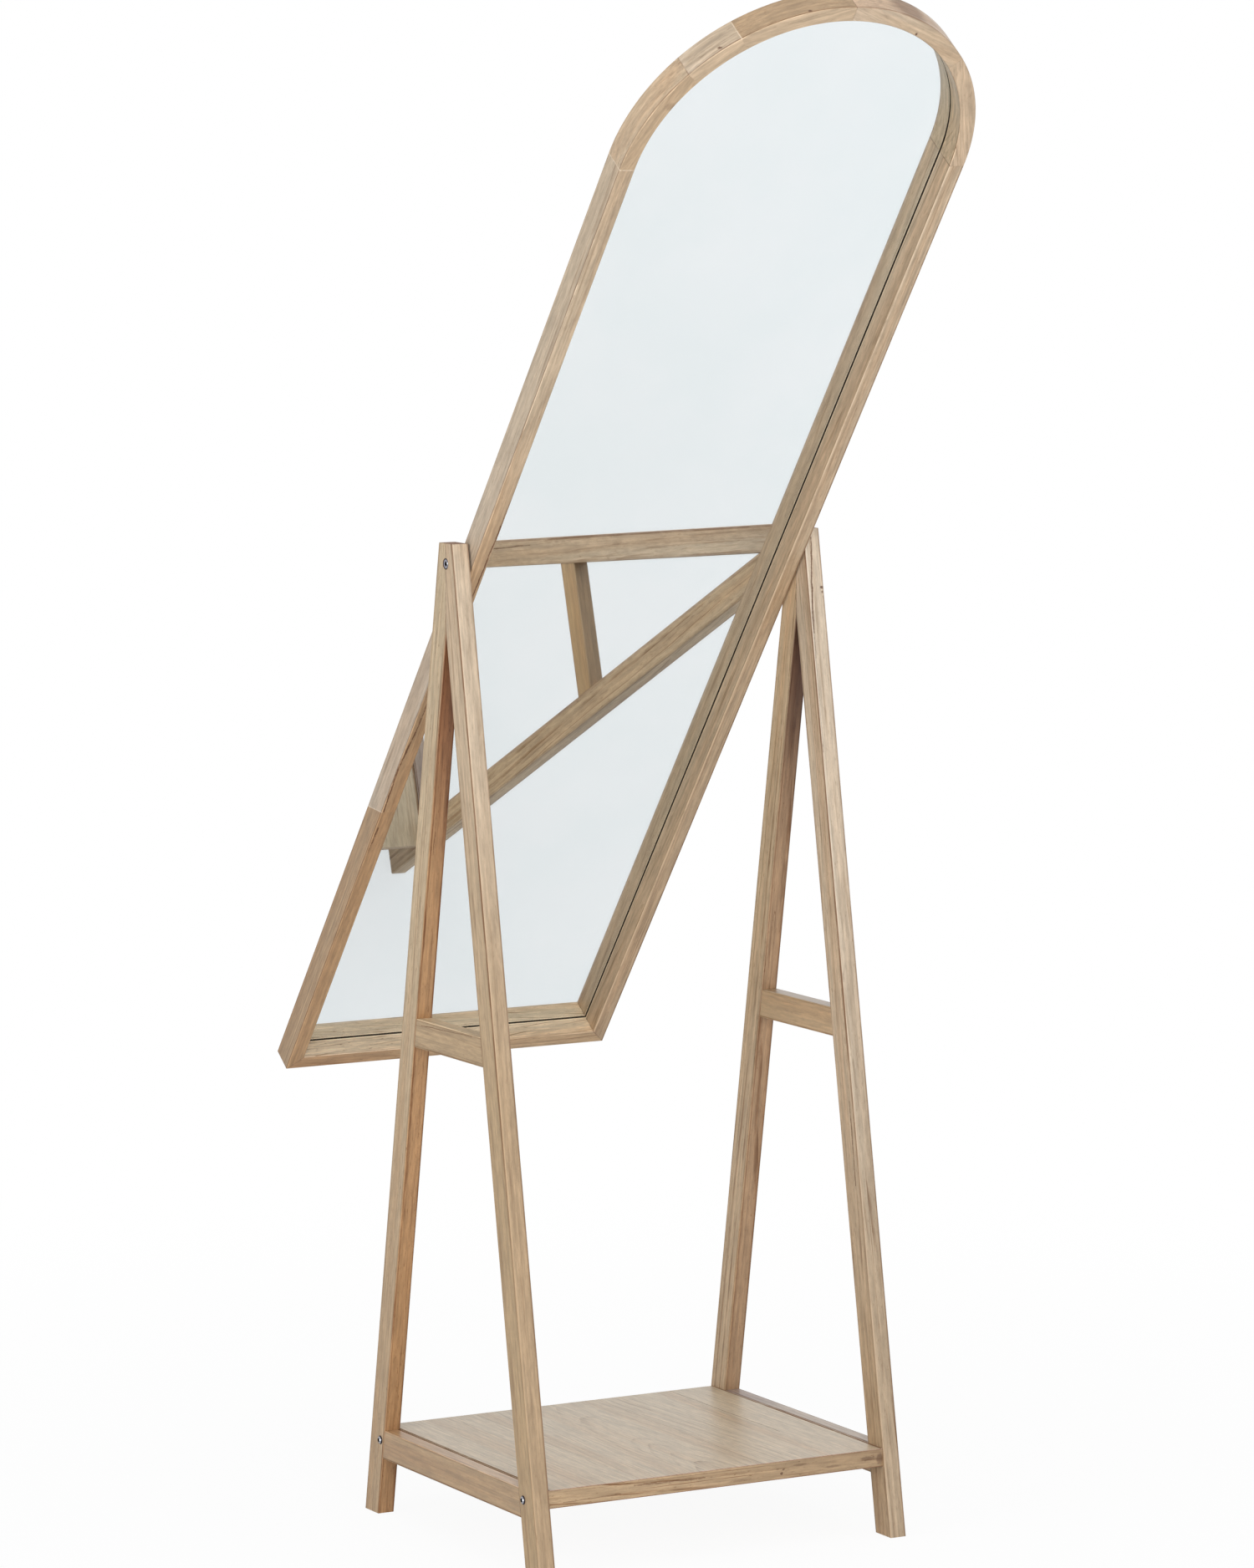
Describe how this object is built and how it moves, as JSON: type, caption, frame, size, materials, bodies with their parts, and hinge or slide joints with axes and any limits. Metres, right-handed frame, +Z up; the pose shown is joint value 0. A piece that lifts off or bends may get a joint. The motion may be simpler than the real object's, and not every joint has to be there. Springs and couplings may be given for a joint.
{
  "type": "free-standing tilting mirror with shelf",
  "caption": "Free-standing arched mirror that tilts between two A-shaped wooden sides, with a low shelf joining them.",
  "frame": {"origin": "on the floor in the middle of the stand, halfway between the two sides and between front and back legs", "axes": "+X from the left side to the right side as seen from the front, +Y from front to back, +Z up; the stored pose has the mirror's top leaning forward, towards -Y"},
  "size_m": [0.4606, 0.9392, 1.6826],
  "materials": {
    "wood": "pale open-grained timber, planed and left matt",
    "veneer": "pale flat-cut veneer, matt",
    "board": "sawn strips, hidden",
    "dowel": "plain beech, hidden",
    "backing": "smooth brown fibreboard",
    "steel": "bright zinc-plated",
    "brass": "plain",
    "mirror": "silvered float glass",
    "nylon": "plain"
  },
  "bodies": {
    "stand": {"left_front_leg": "wood", "left_back_leg": "wood", "left_crossbar": "wood", "left_shelf_rail": "wood", "right_front_leg": "wood", "right_back_leg": "wood", "right_crossbar": "wood", "right_shelf_rail": "wood", "apex_dowels": "dowel", "crossbar_dowels": "dowel", "rail_dowels": "dowel", "shelf_core": "board", "shelf_front_lipping": "wood", "shelf_back_lipping": "wood", "shelf_top_veneer": "veneer", "shelf_bottom_veneer": "veneer", "shelf_bolts": "steel", "shelf_inserts": "brass"},
    "mirror": {"left_stile_upper": "wood", "left_stile_lower": "wood", "right_stile": "wood", "bottom_rail": "wood", "arch_right_foot": "wood", "arch_right_crown": "wood", "arch_left_crown": "wood", "arch_left_shoulder": "wood", "arch_left_foot": "wood", "corner_splines": "dowel", "frame_dowels": "dowel", "mirror_glass": "mirror", "backing_board": "backing", "backing_tabs": "steel", "pivot_bolts": "steel", "pivot_inserts": "brass", "pivot_washers": "nylon"}
  },
  "joints": [
    {"name": "mirror_tilt", "type": "hinge", "parent": "stand", "child": "mirror", "pos_m": [0, 0, 1.075], "axis": [1, 0, 0], "continuous": true}
  ]
}
